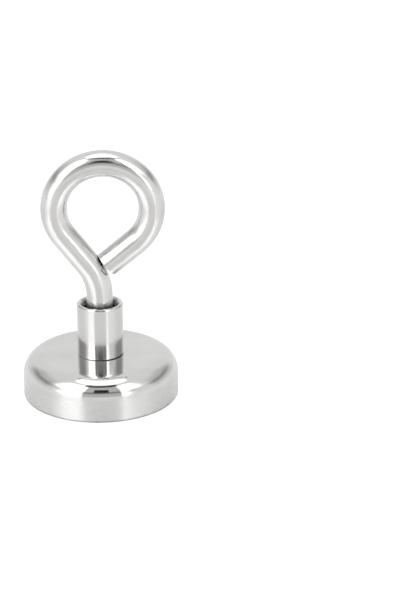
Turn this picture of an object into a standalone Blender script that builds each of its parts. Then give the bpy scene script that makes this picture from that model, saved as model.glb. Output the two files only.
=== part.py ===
"""A small fishing magnet: a steel pot holding a magnet disc, a coupling sleeve and a bent eye bolt.

The pot stands on its magnetic face, which lies in the XY plane, and its axis is Z. The eye lies in
the XZ plane. The sleeve is screwed onto a stud that is riveted into the pot, and the eye bolt is
screwed tight into the sleeve, so eye and sleeve unscrew from the pot together.
"""

import math

import bmesh
import bpy
from mathutils import Vector

# Sizes in metres, angles in radians.
POT_DIAMETER = 0.048
POT_HEIGHT = 0.0132
POT_WALL = 0.0036
POT_TOP_THICKNESS = 0.0048
POT_SHOULDER_RADIUS = 0.006
POT_RIM_ROUNDING = 0.0005
POT_CAVITY_FILLET = 0.001

MAGNET_EDGE_CHAMFER = 0.0004
ADHESIVE_THICKNESS = 0.0004
POTTING_WIDTH = 0.0025
POTTING_RECESS = 0.0006

THREAD_DIAMETER = 0.008
THREAD_PITCH = 0.00125
THREAD_DEPTH = 0.00075
CREST_SHARE = 1 / 8
ROOT_SHARE = 1 / 4
THREAD_END_CHAMFER = 0.0008
RIVET_HEAD_DIAMETER = 0.0116

SLEEVE_DIAMETER = 0.0143
SLEEVE_LENGTH = 0.0164
SLEEVE_EDGE_CHAMFER = 0.00045
SLEEVE_RIM_WIDTH = 0.00095
SLEEVE_COUNTERBORE_DEPTH = 0.0045

ROD_DIAMETER = 0.0082
ROD_IN_SLEEVE = 0.0036
EYE_THREAD_LENGTH = 0.0042
EYE_SHANK = 0.0025
EYE_NECK_RADIUS = 0.018
EYE_NECK_LEAN = math.radians(36.5)
EYE_NECK_STRAIGHT = 0.0118
EYE_RING_RADIUS = 0.01485
EYE_TAIL_ANGLE = math.radians(-49.5)
EYE_HEIGHT_TO_WIDTH = 0.965

# Clearances between pieces that touch on the real object.
SEAT_GAP = 0.0003
THREAD_GAP = 0.0003
STUD_HOLE_GAP = 0.0003
ROD_MOUTH_GAP = 0.0006
THREAD_END_GAP = 0.0008
CUT_END_GAP = 0.00035

# Fineness of the round surfaces.
POT_SIDES = 64
SLEEVE_SIDES = 48
THREAD_SIDES = 24
ROWS_PER_PITCH = 6
ROD_BEVEL_RESOLUTION = 5
ROD_ARC_STEP = math.radians(7.5)
SHOULDER_ARC_STEP = math.radians(13)
RIM_ARC_STEP = math.radians(30)
FILLET_ARC_STEP = math.radians(45)
SMOOTH_ANGLE = math.radians(32)
TAIL_STEP = 0.00004
TAIL_SAMPLES = 4

# Worked out from the sizes above.
POT_RADIUS = POT_DIAMETER / 2
CAVITY_RADIUS = POT_RADIUS - POT_WALL
CAVITY_DEPTH = POT_HEIGHT - POT_TOP_THICKNESS
MAGNET_RADIUS = CAVITY_RADIUS - POTTING_WIDTH
ADHESIVE_TOP = CAVITY_DEPTH - SEAT_GAP
MAGNET_TOP = ADHESIVE_TOP - ADHESIVE_THICKNESS - SEAT_GAP
THREAD_RADIUS = THREAD_DIAMETER / 2
STUD_HOLE_RADIUS = THREAD_RADIUS + STUD_HOLE_GAP
SLEEVE_BOTTOM = POT_HEIGHT + SEAT_GAP
SLEEVE_TOP = SLEEVE_BOTTOM + SLEEVE_LENGTH
THREADED_BORE_RADIUS = THREAD_RADIUS + THREAD_GAP
ROD_RADIUS = ROD_DIAMETER / 2
COUNTERBORE_RADIUS = max(ROD_RADIUS, THREAD_RADIUS) + ROD_MOUTH_GAP
ROD_BOTTOM = SLEEVE_TOP - ROD_IN_SLEEVE
EYE_BOTTOM = ROD_BOTTOM - EYE_THREAD_LENGTH
STUD_LENGTH = EYE_BOTTOM - THREAD_END_GAP - POT_HEIGHT
STUD_TOP = POT_HEIGHT + STUD_LENGTH

# Name: (colour, roughness, metallic)
FINISHES = {
    "pot_nickel": ((0.72, 0.72, 0.71), 0.22, 1.0),
    "magnet_nickel": ((0.66, 0.66, 0.65), 0.38, 1.0),
    "grey_epoxy": ((0.23, 0.23, 0.23), 0.55, 0.0),
    "clear_adhesive": ((0.55, 0.52, 0.42), 0.35, 0.0),
    "zinc_stud": ((0.60, 0.61, 0.62), 0.34, 1.0),
    "sleeve_nickel": ((0.70, 0.70, 0.69), 0.20, 1.0),
    "eye_nickel": ((0.74, 0.74, 0.73), 0.16, 1.0),
}


def clear_scene():
    for obj in list(bpy.data.objects):
        bpy.data.objects.remove(obj, do_unlink=True)


def make_finishes():
    """One Principled material for each entry of FINISHES."""
    for name, (colour, roughness, metallic) in FINISHES.items():
        material = bpy.data.materials.new(name)
        material.use_nodes = True
        shader = material.node_tree.nodes["Principled BSDF"]
        shader.inputs["Base Color"].default_value = (*colour, 1.0)
        shader.inputs["Roughness"].default_value = roughness
        shader.inputs["Metallic"].default_value = metallic


def make_collection(name):
    collection = bpy.data.collections.new(name)
    bpy.context.scene.collection.children.link(collection)
    return collection


def add_object(collection, name, data, finish=None):
    obj = bpy.data.objects.new(name, data)
    collection.objects.link(obj)
    if finish:
        data.materials.append(bpy.data.materials[finish])
    return obj


def smooth(obj):
    obj.data.shade_smooth()
    obj.data.set_sharp_from_angle(angle=SMOOTH_ANGLE)


def arc(centre, radius, start, end, step):
    """Points (x, z) of an arc from the angle start to the angle end, both ends included."""
    count = max(1, math.ceil(abs(end - start) / step))
    angles = [start + (end - start) * index / count for index in range(count + 1)]
    return [(centre[0] + radius * math.cos(angle), centre[1] + radius * math.sin(angle)) for angle in angles]


def turned(collection, name, profile, sides, finish):
    """A body of revolution about Z, whose profile (radius, z) runs down its outer side.

    A profile that starts and ends on the axis makes a solid body, and any other is closed into a ring.
    """
    mesh = bpy.data.meshes.new(name)
    count = len(profile)
    edges = [(index, index + 1) for index in range(count - 1)]
    if profile[0][0] > 0.0:
        edges.append((count - 1, 0))
    mesh.from_pydata([(radius, 0.0, z) for radius, z in profile], edges, [])
    obj = add_object(collection, name, mesh, finish)
    screw = obj.modifiers.new("turn", "SCREW")
    screw.axis = "Z"
    screw.steps = sides
    screw.render_steps = sides
    screw.use_merge_vertices = True
    screw.merge_threshold = 0.00001
    screw.use_smooth_shade = True
    return obj


def make_pot_shell(parts):
    shoulder = arc(
        (POT_RADIUS - POT_SHOULDER_RADIUS, POT_HEIGHT - POT_SHOULDER_RADIUS),
        POT_SHOULDER_RADIUS,
        math.pi / 2,
        0.0,
        SHOULDER_ARC_STEP,
    )
    outer_rim = arc(
        (POT_RADIUS - POT_RIM_ROUNDING, POT_RIM_ROUNDING),
        POT_RIM_ROUNDING,
        0.0,
        -math.pi / 2,
        RIM_ARC_STEP,
    )
    inner_corner = arc(
        (CAVITY_RADIUS - POT_CAVITY_FILLET, CAVITY_DEPTH - POT_CAVITY_FILLET),
        POT_CAVITY_FILLET,
        0.0,
        math.pi / 2,
        FILLET_ARC_STEP,
    )
    head_seat = RIVET_HEAD_DIAMETER / 2 + STUD_HOLE_GAP * math.sqrt(2)
    seat_depth = head_seat - STUD_HOLE_RADIUS
    profile = [(STUD_HOLE_RADIUS, POT_HEIGHT)]
    profile += shoulder
    profile += outer_rim
    profile += [(CAVITY_RADIUS, 0.0)]
    profile += inner_corner
    profile += [(head_seat, CAVITY_DEPTH), (STUD_HOLE_RADIUS, CAVITY_DEPTH + seat_depth)]
    turned(parts, "pot_shell", profile, POT_SIDES, "pot_nickel")


def make_magnet_disc(parts):
    chamfer = MAGNET_EDGE_CHAMFER
    profile = [
        (0.0, MAGNET_TOP),
        (MAGNET_RADIUS - chamfer, MAGNET_TOP),
        (MAGNET_RADIUS, MAGNET_TOP - chamfer),
        (MAGNET_RADIUS, chamfer),
        (MAGNET_RADIUS - chamfer, 0.0),
        (0.0, 0.0),
    ]
    turned(parts, "magnet_disc", profile, POT_SIDES, "magnet_nickel")


def make_adhesive_film(parts):
    radius = MAGNET_RADIUS - MAGNET_EDGE_CHAMFER
    bottom = ADHESIVE_TOP - ADHESIVE_THICKNESS
    profile = [(0.0, ADHESIVE_TOP), (radius, ADHESIVE_TOP), (radius, bottom), (0.0, bottom)]
    turned(parts, "adhesive_film", profile, POT_SIDES, "clear_adhesive")


def make_potting_ring(parts):
    inner = MAGNET_RADIUS + SEAT_GAP
    outer = CAVITY_RADIUS - SEAT_GAP
    profile = [(inner, MAGNET_TOP), (outer, MAGNET_TOP), (outer, POTTING_RECESS), (inner, POTTING_RECESS)]
    turned(parts, "potting_ring", profile, POT_SIDES, "grey_epoxy")


def thread_depth_at(angle, height):
    """How deep a right-hand thread is cut at this angle and height: 0 at a crest, THREAD_DEPTH at a root."""
    phase = (height / THREAD_PITCH - angle / math.tau + 0.5) % 1.0 - 0.5
    share = (abs(phase) * 2 - CREST_SHARE) / (1 - ROOT_SHARE - CREST_SHARE)
    return THREAD_DEPTH * min(1.0, max(0.0, share))


def threaded_rows(bottom, top, end_at_top):
    """Rows (z, outer radius, share of the thread's depth) of a threaded length with one chamfered end."""
    end = top if end_at_top else bottom
    count = math.ceil((top - bottom) / THREAD_PITCH * ROWS_PER_PITCH)
    rows = []
    for index in range(count + 1):
        z = bottom + (top - bottom) * index / count
        lead_in = max(0.0, THREAD_END_CHAMFER - abs(z - end))
        run_out = abs(z - (bottom if end_at_top else top)) / (THREAD_PITCH / 2)
        rows.append((z, THREAD_RADIUS - lead_in, min(1.0, run_out)))
    return rows


def threaded_mesh(name, rows):
    """A closed rod about Z through rows (z, outer radius, share of the thread's depth)."""
    shape = bmesh.new()
    bmesh.ops.create_grid(shape, x_segments=THREAD_SIDES, y_segments=len(rows) - 1, size=0.5)
    for vert in shape.verts:
        angle = (vert.co.x + 0.5) * math.tau
        z, outer, share = rows[round((vert.co.y + 0.5) * (len(rows) - 1))]
        cut_radius = THREAD_RADIUS - share * thread_depth_at(angle, z)
        radius = min(outer, cut_radius) if share else outer
        vert.co = (radius * math.cos(angle), radius * math.sin(angle), z)
    bmesh.ops.remove_doubles(shape, verts=shape.verts, dist=1e-7)
    bmesh.ops.holes_fill(shape, edges=shape.edges, sides=0)
    bmesh.ops.recalc_face_normals(shape, faces=shape.faces)
    mesh = bpy.data.meshes.new(name)
    shape.to_mesh(mesh)
    shape.free()
    return mesh


def make_threaded_stud(parts):
    """The stud: a countersunk rivet head inside the pot, a plain neck through its top, then the thread."""
    head_radius = RIVET_HEAD_DIAMETER / 2
    neck_bottom = CAVITY_DEPTH + head_radius - THREAD_RADIUS
    rows = [(CAVITY_DEPTH, head_radius, 0.0), (neck_bottom, THREAD_RADIUS, 0.0)]
    rows += threaded_rows(POT_HEIGHT, STUD_TOP, end_at_top=True)
    stud = add_object(parts, "threaded_stud", threaded_mesh("threaded_stud", rows), "zinc_stud")
    smooth(stud)


def make_coupling_sleeve(parts):
    radius = SLEEVE_DIAMETER / 2
    edge = SLEEVE_EDGE_CHAMFER
    mouth = max(radius - SLEEVE_RIM_WIDTH, COUNTERBORE_RADIUS)
    counterbore_bottom = SLEEVE_TOP - SLEEVE_COUNTERBORE_DEPTH
    step = COUNTERBORE_RADIUS - THREADED_BORE_RADIUS
    profile = [
        (mouth, SLEEVE_TOP),
        (radius - edge, SLEEVE_TOP),
        (radius, SLEEVE_TOP - edge),
        (radius, SLEEVE_BOTTOM + edge),
        (radius - edge, SLEEVE_BOTTOM),
        (COUNTERBORE_RADIUS, SLEEVE_BOTTOM),
        (THREADED_BORE_RADIUS, SLEEVE_BOTTOM + step),
        (THREADED_BORE_RADIUS, counterbore_bottom - step),
        (COUNTERBORE_RADIUS, counterbore_bottom),
        (COUNTERBORE_RADIUS, SLEEVE_TOP - (mouth - COUNTERBORE_RADIUS)),
    ]
    turned(parts, "coupling_sleeve", profile, SLEEVE_SIDES, "sleeve_nickel")


def distance_to_path(point, path):
    """The least distance from a point to a polyline, both in the XZ plane."""
    nearest = math.inf
    for start, end in zip(path, path[1:]):
        along = end - start
        share = (point - start).dot(along) / along.length_squared
        nearest = min(nearest, (point - start - along * min(1.0, max(0.0, share))).length)
    return nearest


def eye_path():
    """The rod's centre line above the sleeve as (x, z) points: shank, neck bend, straight, ring, tail."""
    bend_start = SLEEVE_TOP + EYE_SHANK
    lean = EYE_NECK_LEAN
    neck_centre = Vector((-EYE_NECK_RADIUS, bend_start))
    outward = Vector((math.cos(lean), math.sin(lean)))
    heading = Vector((-math.sin(lean), math.cos(lean)))
    ring_centre = neck_centre + outward * (EYE_NECK_RADIUS + EYE_RING_RADIUS) + heading * EYE_NECK_STRAIGHT
    neck = arc(neck_centre, EYE_NECK_RADIUS, 0.0, lean, ROD_ARC_STEP)
    ring = arc(ring_centre, EYE_RING_RADIUS, math.pi + lean, EYE_TAIL_ANGLE, ROD_ARC_STEP)
    path = [Vector((x, SLEEVE_TOP + (z - SLEEVE_TOP) * EYE_HEIGHT_TO_WIDTH)) for x, z in neck + ring]
    tail = Vector((math.sin(EYE_TAIL_ANGLE), -math.cos(EYE_TAIL_ANGLE) * EYE_HEIGHT_TO_WIDTH)).normalized()
    shank = path[: len(neck) + 2]
    return path + [path[-1] + tail * tail_length(path[-1], tail, shank)]


def tail_length(start, heading, shank):
    """How far the tail runs before its square-cut end comes up against the shank."""
    across = Vector((-heading.y, heading.x)) * ROD_RADIUS
    length = 0.0
    while length < 2 * EYE_RING_RADIUS:
        centre = start + heading * (length + TAIL_STEP)
        face = [centre + across * (index / TAIL_SAMPLES) for index in range(-TAIL_SAMPLES, TAIL_SAMPLES + 1)]
        if min(distance_to_path(point, shank) for point in face) < ROD_RADIUS + CUT_END_GAP:
            break
        length += TAIL_STEP
    return length


def make_eye_bolt(parts):
    """A bent rod joined to its threaded end, which sits inside the sleeve."""
    curve = bpy.data.curves.new("eye_rod", "CURVE")
    curve.dimensions = "3D"
    curve.bevel_depth = ROD_RADIUS
    curve.bevel_resolution = ROD_BEVEL_RESOLUTION
    curve.use_fill_caps = True
    route = [Vector((0.0, ROD_BOTTOM))] + eye_path()
    spline = curve.splines.new("POLY")
    spline.points.add(len(route) - 1)
    for point, (x, z) in zip(spline.points, route):
        point.co = (x, 0.0, z, 1.0)
    rod = add_object(parts, "eye_rod", curve)
    bpy.context.view_layer.update()
    mesh = bpy.data.meshes.new_from_object(rod.evaluated_get(bpy.context.evaluated_depsgraph_get()))
    mesh.name = "eye_bolt"
    shape = bmesh.new()
    shape.from_mesh(mesh)
    bmesh.ops.remove_doubles(shape, verts=shape.verts, dist=1e-6)
    shape.to_mesh(mesh)
    shape.free()
    eye = add_object(parts, "eye_bolt", mesh, "eye_nickel")
    eye.matrix_world = rod.matrix_world
    bpy.data.objects.remove(rod, do_unlink=True)
    return eye


def join_eye_thread(eye, helpers):
    """Unites the threaded end with the rod. The thread reaches a little way up into the rod."""
    overlap = ROD_IN_SLEEVE / 2
    rows = threaded_rows(EYE_BOTTOM, ROD_BOTTOM, end_at_top=False)
    rows.append((ROD_BOTTOM + overlap, THREAD_RADIUS, 0.0))
    thread = add_object(helpers, "eye_thread", threaded_mesh("eye_thread", rows))
    thread.hide_render = True
    thread.display_type = "WIRE"
    union = eye.modifiers.new("thread", "BOOLEAN")
    union.operation = "UNION"
    union.solver = "EXACT"
    union.object = thread


def main():
    clear_scene()
    make_finishes()
    parts = make_collection("fishing_magnet")
    helpers = make_collection("helpers")
    make_pot_shell(parts)
    make_magnet_disc(parts)
    make_adhesive_film(parts)
    make_potting_ring(parts)
    make_threaded_stud(parts)
    make_coupling_sleeve(parts)
    eye = make_eye_bolt(parts)
    join_eye_thread(eye, helpers)


main()
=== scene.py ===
"""The looks of the fishing magnet: fine surfaces for every piece, their metals, the studio and the camera."""

import math

import bmesh
import bpy
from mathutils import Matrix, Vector, noise


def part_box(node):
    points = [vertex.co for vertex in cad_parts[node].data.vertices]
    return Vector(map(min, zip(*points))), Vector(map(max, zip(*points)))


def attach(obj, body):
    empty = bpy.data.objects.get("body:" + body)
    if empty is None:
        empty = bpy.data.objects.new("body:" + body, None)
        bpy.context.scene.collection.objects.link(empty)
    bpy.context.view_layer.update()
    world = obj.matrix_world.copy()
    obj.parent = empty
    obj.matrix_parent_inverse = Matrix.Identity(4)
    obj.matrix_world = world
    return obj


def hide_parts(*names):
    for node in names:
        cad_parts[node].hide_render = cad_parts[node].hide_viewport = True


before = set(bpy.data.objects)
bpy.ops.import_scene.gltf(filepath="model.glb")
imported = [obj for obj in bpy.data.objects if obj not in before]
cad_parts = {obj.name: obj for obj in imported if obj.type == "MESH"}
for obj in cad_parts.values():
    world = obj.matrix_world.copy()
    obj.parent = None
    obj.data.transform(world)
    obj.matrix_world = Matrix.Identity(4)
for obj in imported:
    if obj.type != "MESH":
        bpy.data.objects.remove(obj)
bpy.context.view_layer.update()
scene = bpy.context.scene
MM = 0.001

# Sizes read from the frame.
POT_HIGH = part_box("pot_shell")[1]
POT_RADIUS = POT_HIGH.x
POT_TOP = POT_HIGH.z
MAGNET_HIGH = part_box("magnet_disc")[1]
MAGNET_RADIUS = MAGNET_HIGH.x
RING_LOW, RING_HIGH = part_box("potting_ring")
STUD_LOW, STUD_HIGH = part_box("threaded_stud")
SLEEVE_LOW, SLEEVE_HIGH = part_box("coupling_sleeve")
SLEEVE_RADIUS = SLEEVE_HIGH.x
EYE_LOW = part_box("eye_bolt")[0]

# Sizes that a box doesn't tell, in metres and radians. Tilts, shares and ratios are plain numbers.
POT_WALL = 3.6 * MM
SHOULDER_RADIUS = 6.0 * MM
RIM_ROUNDING = 0.5 * MM
CAVITY_FILLET = 1.0 * MM
STUD_HOLE_GAP = 0.08 * MM
MAGNET_CHAMFER = 0.4 * MM
THREAD_RADIUS = 4.0 * MM
THREAD_PITCH = 1.25 * MM
THREAD_DEPTH = 0.75 * MM
THREAD_END_CHAMFER = 0.8 * MM
NUT_THREAD_RADIUS = 4.15 * MM
NUT_THREAD_DEPTH = 0.5 * MM
SLEEVE_CHAMFER = 0.45 * MM
SLEEVE_FOOT_CHAMFER = 0.1 * MM
SLEEVE_FOOT_TILT = 0.018
SLEEVE_DISH_DEPTH = 1.5 * MM
SLEEVE_RIM_WIDTH = 0.95 * MM
COUNTERBORE_RADIUS = 4.7 * MM
COUNTERBORE_DEPTH = 4.5 * MM
ROD_RADIUS = 4.1 * MM
ROD_IN_SLEEVE = 3.6 * MM
EYE_SHANK = 2.5 * MM
NECK_RADIUS = 18.0 * MM
NECK_LEAN = math.radians(36.5)
NECK_STRAIGHT = 11.8 * MM
EYE_RADIUS = 14.85 * MM
TAIL_ANGLE = math.radians(-49.5)
TAIL_STEP = 0.02 * MM
CUT_END_GAP = 0.15 * MM
CUT_FACE_HEIGHT = 0.12 * MM
NICK_LENGTH = 1.1 * MM
EDGE_NICK = 0.10 * MM
FACE_NICK = 0.05 * MM
EYE_HEIGHT_TO_WIDTH = 0.965
ROD_FOOT_SHARE = 0.93
ROD_FOOT_CHAMFER = 0.25 * MM
EPOXY_CLIMB_AT_MAGNET = 0.22 * MM
EPOXY_CLIMB_AT_POT = 0.12 * MM
EPOXY_CLIMB_FALL = 7
TABLE_HOLE_MARGIN = 0.9 * MM
TABLE_RADII = (2 * POT_RADIUS, 0.3, 3.0)

# Rows as a share of the radius and, in millimetres, how far out on the cut face or how deep in the dimple.
CUT_FACE = (
    (0.985, -0.02),
    (0.955, 0.05),
    (0.92, 0.10),
    (0.80, 0.12),
    (0.5, 0.12),
    (0.2, 0.12),
    (0.0, 0.12),
)
STUD_DIMPLE = ((0.45, 0.0), (0.4, 0.1), (0.3, 0.35), (0.15, 0.5), (0.0, 0.55))

# Unevenness as the height and the length of each wave.
ROD_WAVES = ((0.022 * MM, 6.0 * MM), (0.009 * MM, 2.2 * MM))
EPOXY_WAVES = ((0.10 * MM, 4.5 * MM), (0.04 * MM, 1.3 * MM))

POT_SIDES = 288
SLEEVE_SIDES = 192
THREAD_SIDES = 144
ROD_SIDES = 96
TABLE_SIDES = 96
EPOXY_ROWS = 14
ROWS_PER_PITCH = 14
ARC_STEP = math.radians(4)
ROD_STEP = 0.35 * MM
SHARP_ANGLE = math.radians(28)


# --- Geometry -----------------------------------------------------------------------------------

def rounded(corners, loop=False):
    """A fine profile through corners (radius, z, rounding), each corner turned into an arc."""
    points = []
    count = len(corners)
    for index, (r, z, rounding) in enumerate(corners):
        corner = Vector((r, z))
        at_end = not loop and index in (0, count - 1)
        if at_end or rounding == 0:
            points.append(corner)
            continue
        before = (Vector(corners[index - 1][:2]) - corner).normalized()
        after = (Vector(corners[(index + 1) % count][:2]) - corner).normalized()
        half = before.angle(after) / 2
        reach = rounding / math.tan(half)
        centre = corner + (before + after).normalized() * (rounding / math.sin(half))
        start = corner + before * reach - centre
        turn = math.pi - 2 * half
        if start.y * before.x - start.x * before.y < 0:
            turn = -turn
        steps = max(2, math.ceil(abs(turn) / ARC_STEP))
        for step in range(steps + 1):
            angle = turn * step / steps
            cos, sin = math.cos(angle), math.sin(angle)
            points.append(centre + Vector((start.x * cos - start.y * sin, start.x * sin + start.y * cos)))
    return points


def circle_row(radius, z, sides):
    """One row of a turned surface. The radius is a number or a function of the angle."""
    row = []
    for index in range(sides):
        angle = math.tau * index / sides
        r = radius(angle) if callable(radius) else radius
        row.append(Vector((r * math.cos(angle), r * math.sin(angle), z)))
    return row


def swell_at(point, waves):
    """Smooth unevenness at a point, in metres."""
    return sum(height * noise.noise(point / length) for height, length in waves)


def skin(name, rows, loop=False):
    """A surface through rings of points. A loop joins the last ring to the first."""
    count = len(rows[0])
    points = [point for row in rows for point in row]
    pairs = [(index, index + 1) for index in range(len(rows) - 1)]
    if loop:
        pairs.append((len(rows) - 1, 0))
    faces = []
    for low, high in pairs:
        below, above = low * count, high * count
        for index in range(count):
            beside = (index + 1) % count
            faces.append((below + index, below + beside, above + beside, above + index))
    mesh = bpy.data.meshes.new(name)
    mesh.from_pydata(points, [], faces)
    shape = bmesh.new()
    shape.from_mesh(mesh)
    bmesh.ops.remove_doubles(shape, verts=shape.verts, dist=1e-7)
    bmesh.ops.recalc_face_normals(shape, faces=shape.faces)
    shape.to_mesh(mesh)
    shape.free()
    mesh.shade_smooth()
    mesh.set_sharp_from_angle(angle=SHARP_ANGLE)
    piece = bpy.data.objects.new(name, mesh)
    scene.collection.objects.link(piece)
    return piece


def turned(name, corners, sides, loop=False):
    rows = [circle_row(r, z, sides) for r, z in rounded(corners, loop)]
    return skin(name, rows, loop)


def thread_share(angle, z):
    """How deep a right-hand thread is cut at this angle and height, from 0 at a crest to 1 at a root."""
    phase = (z / THREAD_PITCH - angle / math.tau + 0.5) % 1.0 - 0.5
    share = (abs(phase) * 2 - 0.125) / 0.625
    share = min(1.0, max(0.0, share))
    return share * share * (3 - 2 * share) * 0.35 + share * 0.65


def external_thread(bottom, top, chamfer_low, chamfer_high):
    """Rows of a threaded rod whose chosen ends are chamfered. The thread runs out at its other end."""
    rows = []
    count = math.ceil((top - bottom) / THREAD_PITCH * ROWS_PER_PITCH)
    for index in range(count + 1):
        z = bottom + (top - bottom) * index / count
        chamfer = 0.0
        cut = 1.0
        for end, chamfered in ((bottom, chamfer_low), (top, chamfer_high)):
            away = abs(z - end)
            if chamfered:
                chamfer = max(chamfer, THREAD_END_CHAMFER - away)
            else:
                cut = min(cut, away / THREAD_PITCH)

        def radius(angle, z=z, chamfer=chamfer, cut=cut):
            thread = THREAD_RADIUS - cut * THREAD_DEPTH * thread_share(angle, z)
            return min(THREAD_RADIUS - chamfer, thread)

        rows.append(circle_row(radius, z, THREAD_SIDES))
    return rows


def make_pot_body():
    cavity = POT_RADIUS - POT_WALL
    roof = STUD_LOW.z
    hole = THREAD_RADIUS + STUD_HOLE_GAP
    head = STUD_HIGH.x + 0.3 * MM
    corners = [
        (hole, POT_TOP, 0.25 * MM),
        (POT_RADIUS, POT_TOP, SHOULDER_RADIUS),
        (POT_RADIUS, 0.0, RIM_ROUNDING),
        (cavity, 0.0, 0.12 * MM),
        (cavity, roof, CAVITY_FILLET),
        (head, roof, 0.0),
        (hole, roof + head - hole, 0.0),
    ]
    return turned("pot_body", corners, POT_SIDES, loop=True)


def make_magnet_face():
    edge = MAGNET_CHAMFER
    corners = [
        (0.0, MAGNET_HIGH.z, 0.0),
        (MAGNET_RADIUS, MAGNET_HIGH.z, 0.25 * MM),
        (MAGNET_RADIUS, edge, 0.12 * MM),
        (MAGNET_RADIUS - edge, 0.0, 0.12 * MM),
        (0.0, 0.0, 0.0),
    ]
    return turned("magnet_face", corners, POT_SIDES)


def make_epoxy_ring():
    """The potting between magnet and pot: a poured face that climbs a little at both walls."""
    inner = MAGNET_RADIUS + 0.02 * MM
    outer = RING_HIGH.x
    rows = []
    for index in range(EPOXY_ROWS + 1):
        share = index / EPOXY_ROWS
        radius = inner + (outer - inner) * share
        climb = EPOXY_CLIMB_AT_MAGNET * math.exp(-share * EPOXY_CLIMB_FALL)
        climb += EPOXY_CLIMB_AT_POT * math.exp((share - 1) * EPOXY_CLIMB_FALL)
        row = []
        for side in range(POT_SIDES):
            angle = math.tau * side / POT_SIDES
            at = Vector((radius * math.cos(angle), radius * math.sin(angle), 0.0))
            row.append(at + Vector((0.0, 0.0, RING_LOW.z - climb + swell_at(at, EPOXY_WAVES))))
        rows.append(row)
    rows.append(circle_row(outer, RING_HIGH.z, POT_SIDES))
    rows.append(circle_row(inner, RING_HIGH.z, POT_SIDES))
    return skin("epoxy_ring", rows, loop=True)


def make_stud():
    """A countersunk rivet head inside the pot, a plain neck, then the thread with a dimpled end."""
    head = STUD_HIGH.x
    neck = [
        (0.0, STUD_LOW.z),
        (head - 0.2 * MM, STUD_LOW.z),
        (head, STUD_LOW.z + 0.1 * MM),
        (THREAD_RADIUS, STUD_LOW.z + head - THREAD_RADIUS),
        (THREAD_RADIUS, POT_TOP),
    ]
    rows = [circle_row(r, z, THREAD_SIDES) for r, z in neck]
    rows += external_thread(POT_TOP, STUD_HIGH.z, False, True)
    for share, depth in STUD_DIMPLE:
        rows.append(circle_row(THREAD_RADIUS * share, STUD_HIGH.z - depth * MM, THREAD_SIDES))
    return skin("stud_thread", rows)


def make_sleeve():
    """The coupling sleeve: chamfered top, dished mouth, counterbore and a cut internal thread.

    It sits down on the pot, and its foot isn't quite square, so the seam opens a little at one side.
    """
    bottom, top = (POT_TOP + SLEEVE_LOW.z) / 2, SLEEVE_HIGH.z
    mouth = SLEEVE_RADIUS - SLEEVE_RIM_WIDTH
    counterbore = top - COUNTERBORE_DEPTH
    step = COUNTERBORE_RADIUS - NUT_THREAD_RADIUS
    outside = [
        (COUNTERBORE_RADIUS, counterbore, 0.0),
        (COUNTERBORE_RADIUS, top - SLEEVE_DISH_DEPTH, 0.08 * MM),
        (mouth, top, 0.08 * MM),
        (SLEEVE_RADIUS - SLEEVE_CHAMFER, top, 0.1 * MM),
        (SLEEVE_RADIUS, top - SLEEVE_CHAMFER, 0.15 * MM),
        (SLEEVE_RADIUS, bottom + SLEEVE_FOOT_CHAMFER, 0.06 * MM),
        (SLEEVE_RADIUS - SLEEVE_FOOT_CHAMFER, bottom, 0.04 * MM),
        (COUNTERBORE_RADIUS, bottom, 0.1 * MM),
        (NUT_THREAD_RADIUS, bottom + step, 0.0),
    ]
    rows = [circle_row(r, z, SLEEVE_SIDES) for r, z in rounded(outside)]
    low, high = bottom + step, counterbore - step
    count = math.ceil((high - low) / THREAD_PITCH * ROWS_PER_PITCH)
    for index in range(1, count + 1):
        z = low + (high - low) * index / count
        cut = min(1.0, (z - low) / THREAD_PITCH, (high - z) / THREAD_PITCH)

        def radius(angle, z=z, cut=cut):
            return NUT_THREAD_RADIUS + cut * NUT_THREAD_DEPTH * thread_share(angle, z)

        rows.append(circle_row(radius, z, SLEEVE_SIDES))
    for row in rows:
        for point in row:
            if point.z < bottom + 2 * SLEEVE_FOOT_CHAMFER:
                point.z += max(-0.1 * MM, point.x * SLEEVE_FOOT_TILT)
    return skin("sleeve_turned", rows, loop=True)


def arc_points(centre, radius, start, end):
    count = max(2, math.ceil(abs(end - start) * radius / ROD_STEP))
    angles = [start + (end - start) * index / count for index in range(count + 1)]
    return [centre + Vector((math.cos(angle), math.sin(angle))) * radius for angle in angles]


def straight_points(start, end):
    """Points between two ends, with neither end."""
    count = max(2, math.ceil((end - start).length / ROD_STEP))
    return [start.lerp(end, index / count) for index in range(1, count)]


def eye_path():
    """The rod's centre line as (x, z) points, from inside the sleeve round to its cut end."""
    top = SLEEVE_HIGH.z
    outward = Vector((math.cos(NECK_LEAN), math.sin(NECK_LEAN)))
    heading = Vector((-math.sin(NECK_LEAN), math.cos(NECK_LEAN)))
    neck_centre = Vector((-NECK_RADIUS, top + EYE_SHANK))
    ring_centre = neck_centre + outward * (NECK_RADIUS + EYE_RADIUS) + heading * NECK_STRAIGHT
    neck = arc_points(neck_centre, NECK_RADIUS, 0.0, NECK_LEAN)
    ring = arc_points(ring_centre, EYE_RADIUS, math.pi + NECK_LEAN, TAIL_ANGLE)
    bottom = Vector((0.0, top - ROD_IN_SLEEVE))
    path = [bottom] + straight_points(bottom, neck[0]) + neck + straight_points(neck[-1], ring[0]) + ring
    path = [Vector((x, z if z < top else top + (z - top) * EYE_HEIGHT_TO_WIDTH)) for x, z in path]
    tail = Vector((math.sin(TAIL_ANGLE), -math.cos(TAIL_ANGLE) * EYE_HEIGHT_TO_WIDTH)).normalized()
    end = path[-1] + tail * tail_length(path[-1], tail, path[: len(path) // 3])
    return path + straight_points(path[-1], end) + [end]


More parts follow.
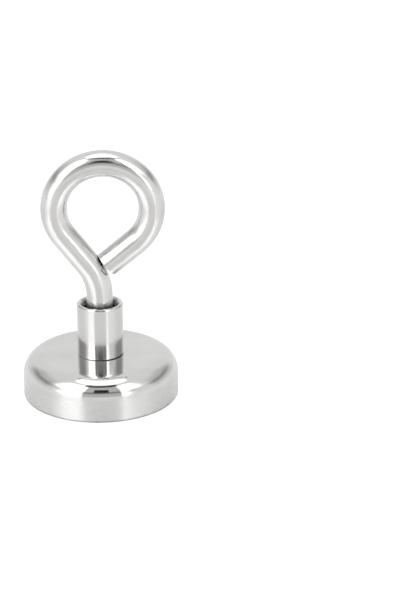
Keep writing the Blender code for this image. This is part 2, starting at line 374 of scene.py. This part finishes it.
def tail_length(start, heading, shank):
    """How far the tail runs before its cut end comes up against the shank."""
    across = Vector((-heading.y, heading.x)) * ROD_RADIUS
    length = 0.0
    while length < 2 * EYE_RADIUS:
        centre = start + heading * (length + TAIL_STEP)
        corners = (centre - across, centre, centre + across)
        if min((corner - point).length for corner in corners for point in shank) < ROD_RADIUS + CUT_END_GAP:
            break
        length += TAIL_STEP
    return length


def rod_row(centre, heading, radius, wobble):
    """One row across the rod: a circle about its centre line, uneven by a few hundredths of a millimetre."""
    side = Vector((heading.y, -heading.x))
    row = []
    for index in range(ROD_SIDES):
        angle = math.tau * index / ROD_SIDES
        outward = Vector((side.x * math.cos(angle), math.sin(angle), side.y * math.cos(angle)))
        at = Vector((centre.x, 0.0, centre.y)) + outward * radius
        row.append(at + outward * swell_at(at, ROD_WAVES) * wobble)
    return row


def cut_face_rows(centre, heading):
    """The sheared end of the rod: a worn edge and a slightly rough face."""
    rows = []
    for share, out in CUT_FACE:
        row = rod_row(centre + heading * out * MM, heading, ROD_RADIUS * share, 1.0)
        if share:
            for point in row:
                nick = noise.noise(point / NICK_LENGTH) * (EDGE_NICK if share > 0.9 else FACE_NICK)
                point += Vector((heading.x, 0.0, heading.y)) * nick
        rows.append(row)
    rows[-1] = [sum(rows[-1], Vector()) / len(rows[-1])] * ROD_SIDES
    return rows


def make_eye():
    """The bent rod from its threaded end, inside the sleeve, round to its cut end."""
    rod_bottom = SLEEVE_HIGH.z - ROD_IN_SLEEVE
    path = eye_path()
    start = [circle_row(0.0, EYE_LOW.z, THREAD_SIDES)]
    thread = start + external_thread(EYE_LOW.z, rod_bottom, True, False)
    thread.append(circle_row(0.0, rod_bottom + 0.5 * MM, THREAD_SIDES))
    thread_piece = skin("eye_thread", thread)
    rows = [[Vector((0.0, 0.0, rod_bottom - 0.1 * MM))] * ROD_SIDES]
    rows.append(rod_row(Vector((0.0, rod_bottom)), Vector((0.0, 1.0)), ROD_RADIUS * ROD_FOOT_SHARE, 0.0))
    for index, centre in enumerate(path):
        before = path[max(0, index - 1)]
        after = path[min(len(path) - 1, index + 1)]
        heading = (after - before).normalized()
        if index == 0:
            centre = centre + heading * ROD_FOOT_CHAMFER
        if index == len(path) - 1:
            centre = centre - heading * CUT_FACE_HEIGHT
        rows.append(rod_row(centre, heading, ROD_RADIUS, 1.0))
    rows += cut_face_rows(path[-1] - heading * CUT_FACE_HEIGHT, heading)
    return skin("eye_rod", rows), thread_piece


# --- Materials ----------------------------------------------------------------------------------

NICKEL = (0.745, 0.742, 0.735)
NICKEL_STAIN = (0.70, 0.695, 0.685)
PIT_SHADE = 0.72
# Painted shade: the colour that darkens the inside of the sleeve's mouth.
MOUTH_PAINTED_SHADE = (0.10, 0.10, 0.10)
MOUTH_ROUGHNESS = 0.16
# Painted shade: the dark colour along the pot's bottom edge, where it meets the table.
FOOT_PAINTED_SHADE = (0.34, 0.335, 0.325)
SHOULDER_DULLING = 0.015


def node(tree, kind, settings=None, inputs=None):
    """A new node. An input is a value, or the socket that it is linked from."""
    made = tree.nodes.new(kind)
    for name, value in (settings or {}).items():
        setattr(made, name, value)
    for name, value in (inputs or {}).items():
        if isinstance(value, bpy.types.NodeSocket):
            tree.links.new(value, made.inputs[name])
        else:
            made.inputs[name].default_value = value
    return made


def new_material(name):
    material = bpy.data.materials.new(name)
    material.use_nodes = True
    tree = material.node_tree
    return material, tree, tree.nodes["Principled BSDF"]


def object_point(tree):
    return node(tree, "ShaderNodeTexCoord").outputs["Object"]


def stretched(tree, point, scale):
    return node(tree, "ShaderNodeMapping", inputs={"Vector": point, "Scale": scale}).outputs["Vector"]


def noise_value(tree, point, scale, detail=3.0, roughness=0.5):
    inputs = {"Vector": point, "Scale": scale, "Detail": detail, "Roughness": roughness}
    return node(tree, "ShaderNodeTexNoise", inputs=inputs).outputs["Fac"]


def spread(tree, value, low, high, from_low=0.35, from_high=0.65):
    """Maps the middle of a noise onto low...high."""
    inputs = {"Value": value, "From Min": from_low, "From Max": from_high, "To Min": low, "To Max": high}
    return node(tree, "ShaderNodeMapRange", inputs=inputs).outputs["Result"]


def math_value(tree, operation, first, second=0.0):
    return node(tree, "ShaderNodeMath", {"operation": operation}, {0: first, 1: second}).outputs[0]


def both(tree, first, second):
    """One mask inside another."""
    return math_value(tree, "MULTIPLY", first, second)


def layer(tree, under, over, mask):
    """The value under, replaced by over where the mask is 1."""
    return node(tree, "ShaderNodeMix", {"data_type": "FLOAT"}, {0: mask, 2: under, 3: over}).outputs[0]


def feeding(shader, name):
    """The socket that an input of the shader is linked from."""
    return shader.inputs[name].links[0].from_socket


def mixed_colour(tree, factor, first, second):
    mix = node(tree, "ShaderNodeMix", {"data_type": "RGBA"}, {0: factor})
    sockets = [socket for socket in mix.inputs if socket.type == "RGBA"]
    for socket, value in zip(sockets, (first, second)):
        if isinstance(value, bpy.types.NodeSocket):
            tree.links.new(value, socket)
        else:
            socket.default_value = (*value, 1.0)
    return [socket for socket in mix.outputs if socket.type == "RGBA"][0]


def bump(tree, height, distance, strength=1.0, normal=None):
    inputs = {"Height": height, "Distance": distance, "Strength": strength}
    if normal:
        inputs["Normal"] = normal
    return node(tree, "ShaderNodeBump", inputs=inputs).outputs["Normal"]


def turned_grain(tree, shader, amount):
    """Turning lines round the Z axis stretch every reflection across them."""
    tangent = node(tree, "ShaderNodeTangent", {"direction_type": "RADIAL", "axis": "Z"})
    tree.links.new(tangent.outputs[0], shader.inputs["Tangent"])
    shader.inputs["Anisotropic"].default_value = amount
    shader.inputs["Anisotropic Rotation"].default_value = 0.25


def plated(name, colour, tint, smooth, dull, ripple):
    """Bright nickel: a faint stain, fingermarks in its gloss, fine plating texture and tiny pits."""
    material, tree, shader = new_material(name)
    point = object_point(tree)
    stain = spread(tree, noise_value(tree, point, 110.0, 4.0), 0.0, 1.0)
    marks = noise_value(tree, point, 260.0, 5.0, 0.62)
    pits = node(tree, "ShaderNodeTexVoronoi", inputs={"Vector": point, "Scale": 900.0}).outputs["Distance"]
    pit_mask = spread(tree, pits, 1.0, 0.0, 0.04, 0.11)
    base = mixed_colour(tree, stain, colour, tint)
    dark = tuple(value * PIT_SHADE for value in colour)
    pitted = spread(tree, noise_value(tree, point, 190.0), 0.0, 0.8, 0.52, 0.66)
    sparse = both(tree, pit_mask, pitted)
    tree.links.new(mixed_colour(tree, sparse, base, dark), shader.inputs["Base Color"])
    tree.links.new(spread(tree, marks, smooth, dull, 0.36, 0.68), shader.inputs["Roughness"])
    fine = bump(tree, noise_value(tree, point, 2800.0, 3.0, 0.6), 0.0016 * MM * ripple)
    broad = bump(tree, noise_value(tree, point, 800.0, 2.0), 0.009 * MM * ripple, 1.0, fine)
    tree.links.new(bump(tree, sparse, -0.004 * MM, 1.0, broad), shader.inputs["Normal"])
    shader.inputs["Metallic"].default_value = 1.0
    return material, tree, shader, point


def sleeve_nickel():
    """The sleeve: turned, so its reflections smear up and down, with a few turning lines left, and painted
    shade inside its mouth.
    """
    material, tree, shader, point = plated("sleeve_nickel_fine", NICKEL, NICKEL_STAIN, 0.10, 0.15, 0.5)
    lines = noise_value(tree, stretched(tree, point, (0.02, 0.02, 1.0)), 2400.0, 3.0)
    lined = bump(tree, lines, 0.002 * MM, 1.0, feeding(shader, "Normal"))
    flat = node(tree, "ShaderNodeVectorMath", {"operation": "MULTIPLY"}, {0: point})
    flat.inputs[1].default_value = (1.0, 1.0, 0.0)
    length = node(tree, "ShaderNodeVectorMath", {"operation": "LENGTH"}, {0: flat.outputs[0]})
    radius = length.outputs["Value"]
    mouth = SLEEVE_RADIUS - SLEEVE_RIM_WIDTH
    inside = spread(tree, radius, 1.0, 0.0, mouth - 0.15 * MM, mouth - 0.02 * MM)
    chatter = both(tree, inside, noise_value(tree, point, 1500.0, 3.0, 0.6))
    tree.links.new(bump(tree, chatter, 0.025 * MM, 1.0, lined), shader.inputs["Normal"])
    height = node(tree, "ShaderNodeSeparateXYZ", inputs={"Vector": point}).outputs["Z"]
    top = SLEEVE_HIGH.z
    # Painted shade: inside the mouth, from 0.15 mm below the top downwards, the colour turns near-black.
    deep = both(tree, inside, spread(tree, height, 1.0, 0.0, top - 0.9 * MM, top - 0.15 * MM))
    shaded = mixed_colour(tree, deep, feeding(shader, "Base Color"), MOUTH_PAINTED_SHADE)
    tree.links.new(shaded, shader.inputs["Base Color"])
    rough = layer(tree, feeding(shader, "Roughness"), MOUTH_ROUGHNESS, inside)
    tree.links.new(rough, shader.inputs["Roughness"])
    turned_grain(tree, shader, 0.85)
    return material


def eye_nickel():
    """The eye: drawn and bent before plating, so it is a little wavy and slightly dull."""
    return plated("eye_nickel_fine", (0.76, 0.757, 0.75), (0.71, 0.705, 0.695), 0.13, 0.20, 2.2)[0]


def pot_nickel():
    """The pot: mirror-bright top and shoulder, a satin turned wall and rim, and painted shade along the edge
    at the foot.
    """
    material, tree, shader = new_material("pot_nickel_fine")
    point = object_point(tree)
    parts = node(tree, "ShaderNodeSeparateXYZ", inputs={"Vector": point}).outputs
    stain = spread(tree, noise_value(tree, point, 90.0, 4.0), 0.0, 1.0)
    base = mixed_colour(tree, stain, NICKEL, NICKEL_STAIN)
    uneven = spread(tree, noise_value(tree, point, 300.0, 4.0), 0.75, 1.0)
    # Painted shade: the lowest edge of the foot is darkened, unevenly, where the pot meets the table.
    foot = spread(tree, parts["Z"], 1.0, 0.0, 0.3 * MM, 0.8 * MM)
    edge = both(tree, foot, spread(tree, parts["Z"], 0.0, 1.0, 0.0, 0.05 * MM))
    painted_foot_shade = mixed_colour(tree, both(tree, edge, uneven), base, FOOT_PAINTED_SHADE)
    tree.links.new(painted_foot_shade, shader.inputs["Base Color"])
    height = POT_TOP - SHOULDER_RADIUS
    wall = spread(tree, parts["Z"], 1.0, 0.0, height - 0.8 * MM, height + 1.3 * MM)
    marks = spread(tree, noise_value(tree, point, 170.0, 5.0, 0.62), 0.05, 0.10)
    satin = spread(tree, noise_value(tree, point, 240.0, 4.0), 0.26, 0.33)
    shoulder = spread(tree, parts["Z"], 1.0, 0.0, POT_TOP - 1.2 * MM, POT_TOP - 0.05 * MM)
    bent = math_value(tree, "ADD", math_value(tree, "MULTIPLY", shoulder, SHOULDER_DULLING), marks)
    tree.links.new(layer(tree, bent, satin, wall), shader.inputs["Roughness"])
    lines = noise_value(tree, stretched(tree, point, (0.02, 0.02, 1.0)), 1400.0, 1.0)
    fine = bump(tree, both(tree, lines, wall), 0.0015 * MM)
    broad = bump(tree, noise_value(tree, point, 240.0, 1.5), 0.005 * MM, 1.0, fine)
    tree.links.new(broad, shader.inputs["Normal"])
    turned_grain(tree, shader, 0.7)
    shader.inputs["Metallic"].default_value = 1.0
    return material


def magnet_nickel():
    """The magnet's face: ground flat before plating, so its grain runs one way."""
    material, tree, shader = new_material("magnet_nickel_fine")
    point = object_point(tree)
    grain = noise_value(tree, stretched(tree, point, (1.0, 0.03, 1.0)), 2400.0, 4.0, 0.6)
    cloud = spread(tree, noise_value(tree, point, 120.0, 4.0), 0.0, 1.0)
    base = mixed_colour(tree, cloud, (0.72, 0.72, 0.715), (0.66, 0.655, 0.645))
    tree.links.new(base, shader.inputs["Base Color"])
    tree.links.new(spread(tree, grain, 0.24, 0.42), shader.inputs["Roughness"])
    tree.links.new(bump(tree, grain, 0.0025 * MM), shader.inputs["Normal"])
    shader.inputs["Metallic"].default_value = 1.0
    return material


def zinc_stud():
    """Zinc-plated thread: slightly blue, duller than the nickel, with dull patches in the roots."""
    material, tree, shader = new_material("zinc_stud_fine")
    point = object_point(tree)
    cloud = spread(tree, noise_value(tree, point, 420.0, 5.0, 0.6), 0.0, 1.0)
    base = mixed_colour(tree, cloud, (0.63, 0.645, 0.66), (0.50, 0.51, 0.515))
    tree.links.new(base, shader.inputs["Base Color"])
    rough = spread(tree, noise_value(tree, point, 900.0, 4.0), 0.24, 0.40)
    tree.links.new(rough, shader.inputs["Roughness"])
    tree.links.new(bump(tree, noise_value(tree, point, 3200.0, 3.0), 0.003 * MM), shader.inputs["Normal"])
    shader.inputs["Metallic"].default_value = 1.0
    return material


def grey_epoxy():
    """Filled grey potting resin: mottled, faintly glossy, with specks of filler and small bubbles."""
    material, tree, shader = new_material("grey_epoxy_fine")
    point = object_point(tree)
    mottle = spread(tree, noise_value(tree, point, 380.0, 6.0, 0.65), 0.0, 1.0)
    base = mixed_colour(tree, mottle, (0.30, 0.30, 0.295), (0.36, 0.36, 0.35))
    cells = node(tree, "ShaderNodeTexVoronoi", inputs={"Vector": point, "Scale": 1300.0})
    hollow = spread(tree, cells.outputs["Distance"], 1.0, 0.0, 0.10, 0.20)
    rare = both(tree, hollow, spread(tree, noise_value(tree, point, 330.0), 0.0, 1.0, 0.50, 0.62))
    tree.links.new(mixed_colour(tree, rare, base, (0.16, 0.16, 0.155)), shader.inputs["Base Color"])
    tree.links.new(spread(tree, mottle, 0.38, 0.55, 0.0, 1.0), shader.inputs["Roughness"])
    swell = bump(tree, noise_value(tree, point, 700.0, 3.0), 0.02 * MM)
    tree.links.new(bump(tree, rare, -0.05 * MM, 1.0, swell), shader.inputs["Normal"])
    return material


def clear_adhesive():
    """The film of glue between the magnet and the pot's roof, yellowish and uneven."""
    material, tree, shader = new_material("clear_adhesive_fine")
    point = object_point(tree)
    cloud = spread(tree, noise_value(tree, point, 300.0, 5.0), 0.0, 1.0)
    base = mixed_colour(tree, cloud, (0.58, 0.54, 0.42), (0.46, 0.42, 0.32))
    tree.links.new(base, shader.inputs["Base Color"])
    tree.links.new(spread(tree, cloud, 0.25, 0.45, 0.0, 1.0), shader.inputs["Roughness"])
    tree.links.new(bump(tree, noise_value(tree, point, 800.0, 3.0), 0.02 * MM), shader.inputs["Normal"])
    return material


# --- Studio -------------------------------------------------------------------------------------

# How bright the studio is to reflections, and the backdrop to the camera.
REAR_WALL = 0.86
BELOW_HORIZON = 0.82
SOFTBOX = 2.6
SOFTBOX_SEAM = 1.05
OVERHEAD = 1.7
BACKDROP = 1.3

# Elevations between which the horizon and the overhead light rise, in degrees.
HORIZON_RISE = (-4.0, 2.0)
OVERHEAD_RISE = (68.5, 71.5)

# Shaded areas as a brightness, an azimuth band and an elevation band.
# A band is where it begins, where it ends and how soft its ends are, in degrees.
SIDE_SHADE = (0.62, (84.0, 138.0, 9.0), (8.0, 44.0, 9.0))
SIDE_STRIP = (0.36, (80.0, 132.0, 14.0), (17.0, 29.0, 4.5))
FRONT_HIGH = (0.58, (-70.0, 50.0, 6.0), (-2.0, 61.0, 3.5))
FRONT_LOW = (0.24, (-70.0, 50.0, 6.0), (18.5, 28.0, 3.0))
GAP_ABOVE = (0.05, (-38.0, 38.0, 5.0), (57.0, 69.0, 1.0))
CAMERA_SIDE = (0.02, (-12.0, 12.0, 1.5), (25.5, 42.5, 1.0))

# Softboxes as inner and outer azimuth and an elevation range, in degrees.
SOFTBOXES = (
    (-29.0, -64.0, -1.0, 30.0),
    (-27.0, -74.0, 28.0, 62.0),
    (30.0, 42.0, -1.0, 30.0),
    (31.0, 62.0, 28.0, 60.0),
)
SOFTBOX_INNER_SOFTNESS = 2.0
SOFTBOX_OUTER_SOFTNESS = 14.0
SOFTBOX_END_SOFTNESS = 3.0
SOFTBOX_SEAM_BAND = (15.0, 19.5, 1.2)

# The table's colour and gloss, and how it glows to reflections and to the camera.
TABLE_GREY = 0.86
TABLE_GLOSS = 0.25
TABLE_ROUGHNESS = 0.12
TABLE_GLOW = 0.04
TABLE_SEEN_GLOW = 0.52

# The camera, in metres and degrees, with its lens in millimetres.
CAMERA_DISTANCE = 0.7
CAMERA_ELEVATION = 24.1
CAMERA_DOWN = 21.8
CAMERA_PAN = 2.764
CAMERA_LENS = 134.2


def soft_step(tree, value, low, high):
    """0 below low and 1 above high, with a smooth rise between."""
    inputs = {"Value": value, "From Min": low, "From Max": high}
    return node(tree, "ShaderNodeMapRange", {"interpolation_type": "SMOOTHSTEP"}, inputs).outputs["Result"]


def soft_band(tree, value, low, high, softness):
    rise = soft_step(tree, value, low - softness, low + softness)
    fall = soft_step(tree, value, high - softness, high + softness)
    return math_value(tree, "SUBTRACT", rise, fall)


def shaded_area(tree, light, azimuth, elevation, area):
    """The light, replaced inside an azimuth band and an elevation band."""
    brightness, across, upright = area
    mask = both(tree, soft_band(tree, azimuth, *across), soft_band(tree, elevation, *upright))
    return layer(tree, light, brightness, mask)


def softbox_mask(tree, azimuth, elevation, inner, outer, bottom, top):
    """1 on a softbox, sharp at its inner edge and faded towards its outer one."""
    side = math_value(tree, "MULTIPLY", azimuth, math.copysign(1.0, inner))
    inner, outer = abs(inner), abs(outer)
    lit = soft_step(tree, side, inner - SOFTBOX_INNER_SOFTNESS, inner + SOFTBOX_INNER_SOFTNESS)
    faded = soft_step(tree, side, outer - SOFTBOX_OUTER_SOFTNESS, outer + SOFTBOX_OUTER_SOFTNESS)
    across = math_value(tree, "SUBTRACT", lit, faded)
    return both(tree, across, soft_band(tree, elevation, bottom, top, SOFTBOX_END_SOFTNESS))


def make_world():
    """The studio as the object sees it. Azimuth 0 is the camera's side, and positive is its right."""
    world = bpy.data.worlds.new("studio")
    scene.world = world
    world.use_nodes = True
    tree = world.node_tree
    background = tree.nodes["Background"]
    direction = node(tree, "ShaderNodeTexCoord").outputs["Generated"]
    parts = node(tree, "ShaderNodeSeparateXYZ", inputs={"Vector": direction}).outputs
    toward = math_value(tree, "MULTIPLY", parts["Y"], -1.0)
    azimuth = math_value(tree, "DEGREES", math_value(tree, "ARCTAN2", parts["X"], toward))
    elevation = math_value(tree, "DEGREES", math_value(tree, "ARCSINE", parts["Z"]))
    aside = math_value(tree, "ABSOLUTE", azimuth)

    light = layer(tree, BELOW_HORIZON, REAR_WALL, soft_step(tree, elevation, *HORIZON_RISE))
    for area in (SIDE_SHADE, SIDE_STRIP):
        light = shaded_area(tree, light, aside, elevation, area)
    for area in (FRONT_HIGH, FRONT_LOW):
        light = shaded_area(tree, light, azimuth, elevation, area)
    boxes = layer(tree, SOFTBOX, SOFTBOX_SEAM, soft_band(tree, elevation, *SOFTBOX_SEAM_BAND))
    for softbox in SOFTBOXES:
        light = layer(tree, light, boxes, softbox_mask(tree, azimuth, elevation, *softbox))
    light = shaded_area(tree, light, azimuth, elevation, GAP_ABOVE)
    light = layer(tree, light, OVERHEAD, soft_step(tree, elevation, *OVERHEAD_RISE))
    light = shaded_area(tree, light, azimuth, elevation, CAMERA_SIDE)

    seen = node(tree, "ShaderNodeLightPath").outputs["Is Camera Ray"]
    tree.links.new(layer(tree, light, BACKDROP, seen), background.inputs["Strength"])
    background.inputs["Color"].default_value = (1.0, 1.0, 1.0, 1.0)


def make_floor():
    """A pale glossy table, open under the pot and see-through from below, so that the face can be seen."""
    hole = POT_RADIUS - TABLE_HOLE_MARGIN
    rows = [circle_row(radius, 0.0, TABLE_SIDES) for radius in (hole, *TABLE_RADII)]
    floor = skin("floor", rows)
    if floor.data.polygons[0].normal.z < 0:
        floor.data.flip_normals()
    material, tree, shader = new_material("pale_table")
    tree.nodes.remove(shader)
    white = (1.0, 1.0, 1.0, 1.0)
    seen = node(tree, "ShaderNodeLightPath").outputs["Is Camera Ray"]
    grey = (TABLE_GREY, TABLE_GREY, TABLE_GREY, 1.0)
    matt = node(tree, "ShaderNodeBsdfDiffuse", inputs={"Color": grey}).outputs[0]
    polish = {"Color": white, "Roughness": TABLE_ROUGHNESS}
    gloss = node(tree, "ShaderNodeBsdfGlossy", inputs=polish).outputs[0]
    glow = node(tree, "ShaderNodeEmission", inputs={"Color": white, "Strength": TABLE_GLOW}).outputs[0]
    bright = node(tree, "ShaderNodeEmission", inputs={"Color": white, "Strength": TABLE_SEEN_GLOW}).outputs[0]
    table = node(tree, "ShaderNodeMixShader", inputs={0: TABLE_GLOSS, 1: matt, 2: gloss}).outputs[0]
    table = node(tree, "ShaderNodeAddShader", inputs={0: table, 1: glow}).outputs[0]
    shown = node(tree, "ShaderNodeAddShader", inputs={0: matt, 1: bright}).outputs[0]
    by_ray = node(tree, "ShaderNodeMixShader", inputs={0: seen, 1: table, 2: shown}).outputs[0]
    below = node(tree, "ShaderNodeNewGeometry").outputs["Backfacing"]
    clear = node(tree, "ShaderNodeBsdfTransparent").outputs[0]
    surface = node(tree, "ShaderNodeMixShader", inputs={0: below, 1: by_ray, 2: clear}).outputs[0]
    tree.links.new(surface, tree.nodes["Material Output"].inputs["Surface"])
    floor.data.materials.append(material)


def make_camera():
    """The camera stands in front of the pot, looks down at it and leaves room at the right."""
    elevation = math.radians(CAMERA_ELEVATION)
    ahead = CAMERA_DISTANCE * math.cos(elevation)
    above = CAMERA_DISTANCE * math.sin(elevation)
    down = math.radians(CAMERA_DOWN)
    pan = math.radians(CAMERA_PAN)
    data = bpy.data.cameras.new("camera")
    data.lens = CAMERA_LENS
    data.sensor_width = 36.0
    data.sensor_fit = "AUTO"
    camera = bpy.data.objects.new("camera", data)
    camera.location = (0.0, -ahead, above)
    camera.rotation_euler = (math.pi / 2 - down, 0.0, -pan)
    scene.collection.objects.link(camera)
    scene.camera = camera


# --- Assembly -----------------------------------------------------------------------------------

def dress(piece, material, slot, body, *nodes):
    """Gives a piece its material, the body it rides on and the CAD node it stands for, which is hidden. The
    record slot is not used.
    """
    piece.data.materials.append(material)
    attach(piece, body)
    if nodes:
        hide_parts(*nodes)


make_camera()
make_world()
make_floor()
scene.view_settings.view_transform = "Standard"

eye_metal = eye_nickel()
stud_metal = zinc_stud()

dress(make_pot_body(), pot_nickel(), "pot_nickel", "pot", "pot_shell")
dress(make_magnet_face(), magnet_nickel(), "magnet_nickel", "pot", "magnet_disc")
dress(make_epoxy_ring(), grey_epoxy(), "grey_epoxy", "pot", "potting_ring")
dress(make_stud(), stud_metal, "zinc_stud", "pot", "threaded_stud")
dress(make_sleeve(), sleeve_nickel(), "sleeve_nickel", "sleeve", "coupling_sleeve")
eye_rod, eye_thread = make_eye()
dress(eye_rod, eye_metal, "eye_nickel", "eye", "eye_bolt")
dress(eye_thread, eye_metal, "eye_nickel", "eye")
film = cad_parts["adhesive_film"]
film.material_slots[0].material = clear_adhesive()
